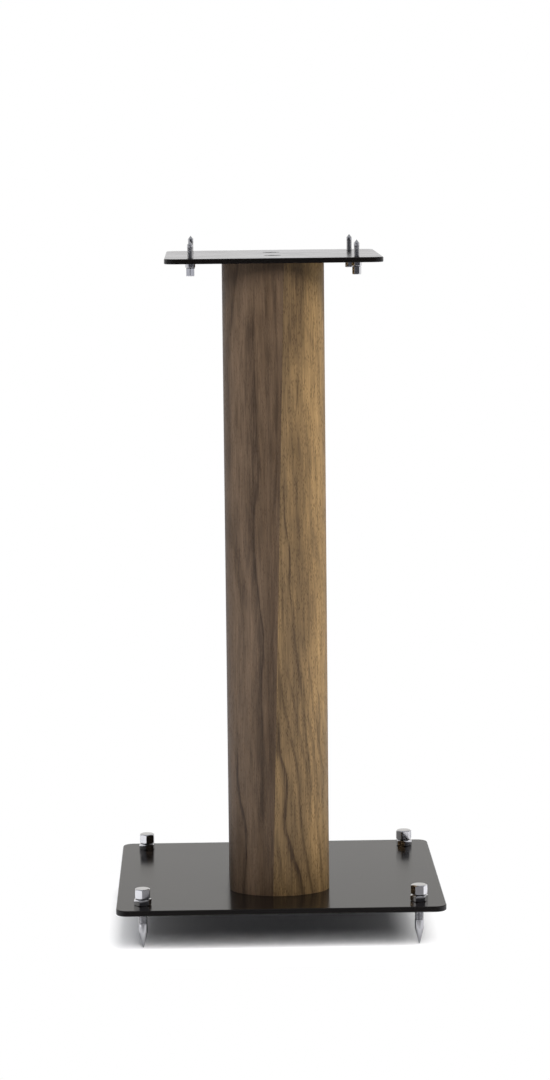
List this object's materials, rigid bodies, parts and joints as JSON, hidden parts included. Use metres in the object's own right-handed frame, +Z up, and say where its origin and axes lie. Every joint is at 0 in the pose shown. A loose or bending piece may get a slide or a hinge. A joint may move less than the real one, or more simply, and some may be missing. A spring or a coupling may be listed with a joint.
{
  "type": "speaker stand",
  "caption": "Speaker stand with a deep oval walnut column between black steel plates, on screw-adjusted floor spikes, with spikes on top to carry the speaker.",
  "frame": {"origin": "on the floor, under the middle of the stand", "axes": "+Z up, +X to the right seen from the front, the front faces -Y"},
  "size_m": [0.288, 0.264, 0.6143],
  "materials": {
    "black_plate": "satin black powder coat",
    "walnut_dark": "satin lacquered walnut, grain upright",
    "walnut_light": "satin lacquered walnut, lighter and warmer, grain upright",
    "chrome": "bright chrome plate",
    "black_screw": "black oxide",
    "plain_steel": "zinc plated, hidden"
  },
  "bodies": {
    "frame": {"base_plate": "black_plate", "top_plate": "black_plate", "column_left": "walnut_dark", "column_right": "walnut_light", "plate_screws": "black_screw", "threaded_inserts": "plain_steel"},
    "floor_spike_front_left": {"floor_spike_front_left": "chrome"},
    "floor_lock_nut_front_left": {"floor_lock_nut_front_left": "chrome"},
    "floor_spike_cap_front_left": {"floor_spike_cap_front_left": "chrome"},
    "floor_spike_front_right": {"floor_spike_front_right": "chrome"},
    "floor_lock_nut_front_right": {"floor_lock_nut_front_right": "chrome"},
    "floor_spike_cap_front_right": {"floor_spike_cap_front_right": "chrome"},
    "floor_spike_back_left": {"floor_spike_back_left": "chrome"},
    "floor_lock_nut_back_left": {"floor_lock_nut_back_left": "chrome"},
    "floor_spike_cap_back_left": {"floor_spike_cap_back_left": "chrome"},
    "floor_spike_back_right": {"floor_spike_back_right": "chrome"},
    "floor_lock_nut_back_right": {"floor_lock_nut_back_right": "chrome"},
    "floor_spike_cap_back_right": {"floor_spike_cap_back_right": "chrome"},
    "top_spike_front_left": {"top_spike_front_left": "chrome"},
    "top_lock_nut_front_left": {"top_lock_nut_front_left": "chrome"},
    "top_spike_cap_front_left": {"top_spike_cap_front_left": "chrome"},
    "top_spike_front_right": {"top_spike_front_right": "chrome"},
    "top_lock_nut_front_right": {"top_lock_nut_front_right": "chrome"},
    "top_spike_cap_front_right": {"top_spike_cap_front_right": "chrome"},
    "top_spike_back_left": {"top_spike_back_left": "chrome"},
    "top_lock_nut_back_left": {"top_lock_nut_back_left": "chrome"},
    "top_spike_cap_back_left": {"top_spike_cap_back_left": "chrome"},
    "top_spike_back_right": {"top_spike_back_right": "chrome"},
    "top_lock_nut_back_right": {"top_lock_nut_back_right": "chrome"},
    "top_spike_cap_back_right": {"top_spike_cap_back_right": "chrome"}
  },
  "joints": [
    {"name": "floor_spike_front_left_height", "type": "slide", "parent": "frame", "child": "floor_spike_front_left", "axis": [0, 0, 1], "range_m": [0, 0.01]},
    {"name": "floor_spike_cap_front_left_turn", "type": "hinge", "parent": "floor_spike_front_left", "child": "floor_spike_cap_front_left", "pos_m": [-0.121, -0.109, 0.0383], "axis": [0, 0, 1], "range_deg": [0, 2880]},
    {"name": "floor_lock_nut_front_left_turn", "type": "hinge", "parent": "frame", "child": "floor_lock_nut_front_left", "pos_m": [-0.121, -0.109, 0.0383], "axis": [0, 0, 1], "range_deg": [0, 180]},
    {"name": "floor_spike_front_right_height", "type": "slide", "parent": "frame", "child": "floor_spike_front_right", "axis": [0, 0, 1], "range_m": [0, 0.01]},
    {"name": "floor_spike_cap_front_right_turn", "type": "hinge", "parent": "floor_spike_front_right", "child": "floor_spike_cap_front_right", "pos_m": [0.121, -0.109, 0.0383], "axis": [0, 0, 1], "range_deg": [0, 2880]},
    {"name": "floor_lock_nut_front_right_turn", "type": "hinge", "parent": "frame", "child": "floor_lock_nut_front_right", "pos_m": [0.121, -0.109, 0.0383], "axis": [0, 0, 1], "range_deg": [0, 180]},
    {"name": "floor_spike_back_left_height", "type": "slide", "parent": "frame", "child": "floor_spike_back_left", "axis": [0, 0, 1], "range_m": [0, 0.01]},
    {"name": "floor_spike_cap_back_left_turn", "type": "hinge", "parent": "floor_spike_back_left", "child": "floor_spike_cap_back_left", "pos_m": [-0.121, 0.109, 0.0383], "axis": [0, 0, 1], "range_deg": [0, 2880]},
    {"name": "floor_lock_nut_back_left_turn", "type": "hinge", "parent": "frame", "child": "floor_lock_nut_back_left", "pos_m": [-0.121, 0.109, 0.0383], "axis": [0, 0, 1], "range_deg": [0, 180]},
    {"name": "floor_spike_back_right_height", "type": "slide", "parent": "frame", "child": "floor_spike_back_right", "axis": [0, 0, 1], "range_m": [0, 0.01]},
    {"name": "floor_spike_cap_back_right_turn", "type": "hinge", "parent": "floor_spike_back_right", "child": "floor_spike_cap_back_right", "pos_m": [0.121, 0.109, 0.0383], "axis": [0, 0, 1], "range_deg": [0, 2880]},
    {"name": "floor_lock_nut_back_right_turn", "type": "hinge", "parent": "frame", "child": "floor_lock_nut_back_right", "pos_m": [0.121, 0.109, 0.0383], "axis": [0, 0, 1], "range_deg": [0, 180]},
    {"name": "top_spike_front_left_height", "type": "slide", "parent": "frame", "child": "top_spike_front_left", "axis": [0, 0, 1], "range_m": [-0.008, 0]},
    {"name": "top_spike_cap_front_left_turn", "type": "hinge", "parent": "top_spike_front_left", "child": "top_spike_cap_front_left", "pos_m": [-0.072, -0.0725, 0.5955], "axis": [0, 0, 1], "range_deg": [-3600, 0]},
    {"name": "top_lock_nut_front_left_turn", "type": "hinge", "parent": "frame", "child": "top_lock_nut_front_left", "pos_m": [-0.072, -0.0725, 0.5955], "axis": [0, 0, 1], "range_deg": [0, 180]},
    {"name": "top_spike_front_right_height", "type": "slide", "parent": "frame", "child": "top_spike_front_right", "axis": [0, 0, 1], "range_m": [-0.008, 0]},
    {"name": "top_spike_cap_front_right_turn", "type": "hinge", "parent": "top_spike_front_right", "child": "top_spike_cap_front_right", "pos_m": [0.072, -0.0725, 0.5955], "axis": [0, 0, 1], "range_deg": [-3600, 0]},
    {"name": "top_lock_nut_front_right_turn", "type": "hinge", "parent": "frame", "child": "top_lock_nut_front_right", "pos_m": [0.072, -0.0725, 0.5955], "axis": [0, 0, 1], "range_deg": [0, 180]},
    {"name": "top_spike_back_left_height", "type": "slide", "parent": "frame", "child": "top_spike_back_left", "axis": [0, 0, 1], "range_m": [-0.008, 0]},
    {"name": "top_spike_cap_back_left_turn", "type": "hinge", "parent": "top_spike_back_left", "child": "top_spike_cap_back_left", "pos_m": [-0.072, 0.0725, 0.5955], "axis": [0, 0, 1], "range_deg": [-3600, 0]},
    {"name": "top_lock_nut_back_left_turn", "type": "hinge", "parent": "frame", "child": "top_lock_nut_back_left", "pos_m": [-0.072, 0.0725, 0.5955], "axis": [0, 0, 1], "range_deg": [0, 180]},
    {"name": "top_spike_back_right_height", "type": "slide", "parent": "frame", "child": "top_spike_back_right", "axis": [0, 0, 1], "range_m": [-0.008, 0]},
    {"name": "top_spike_cap_back_right_turn", "type": "hinge", "parent": "top_spike_back_right", "child": "top_spike_cap_back_right", "pos_m": [0.072, 0.0725, 0.5955], "axis": [0, 0, 1], "range_deg": [-3600, 0]},
    {"name": "top_lock_nut_back_right_turn", "type": "hinge", "parent": "frame", "child": "top_lock_nut_back_right", "pos_m": [0.072, 0.0725, 0.5955], "axis": [0, 0, 1], "range_deg": [0, 180]}
  ],
  "couplings": [
    {"joint": "floor_spike_cap_front_left_turn", "follows": "floor_spike_front_left_height", "rad_per_m": 5026.5},
    {"joint": "floor_spike_cap_front_right_turn", "follows": "floor_spike_front_right_height", "rad_per_m": 5026.5},
    {"joint": "floor_spike_cap_back_left_turn", "follows": "floor_spike_back_left_height", "rad_per_m": 5026.5},
    {"joint": "floor_spike_cap_back_right_turn", "follows": "floor_spike_back_right_height", "rad_per_m": 5026.5},
    {"joint": "top_spike_cap_front_left_turn", "follows": "top_spike_front_left_height", "rad_per_m": 7854},
    {"joint": "top_spike_cap_front_right_turn", "follows": "top_spike_front_right_height", "rad_per_m": 7854},
    {"joint": "top_spike_cap_back_left_turn", "follows": "top_spike_back_left_height", "rad_per_m": 7854},
    {"joint": "top_spike_cap_back_right_turn", "follows": "top_spike_back_right_height", "rad_per_m": 7854}
  ]
}
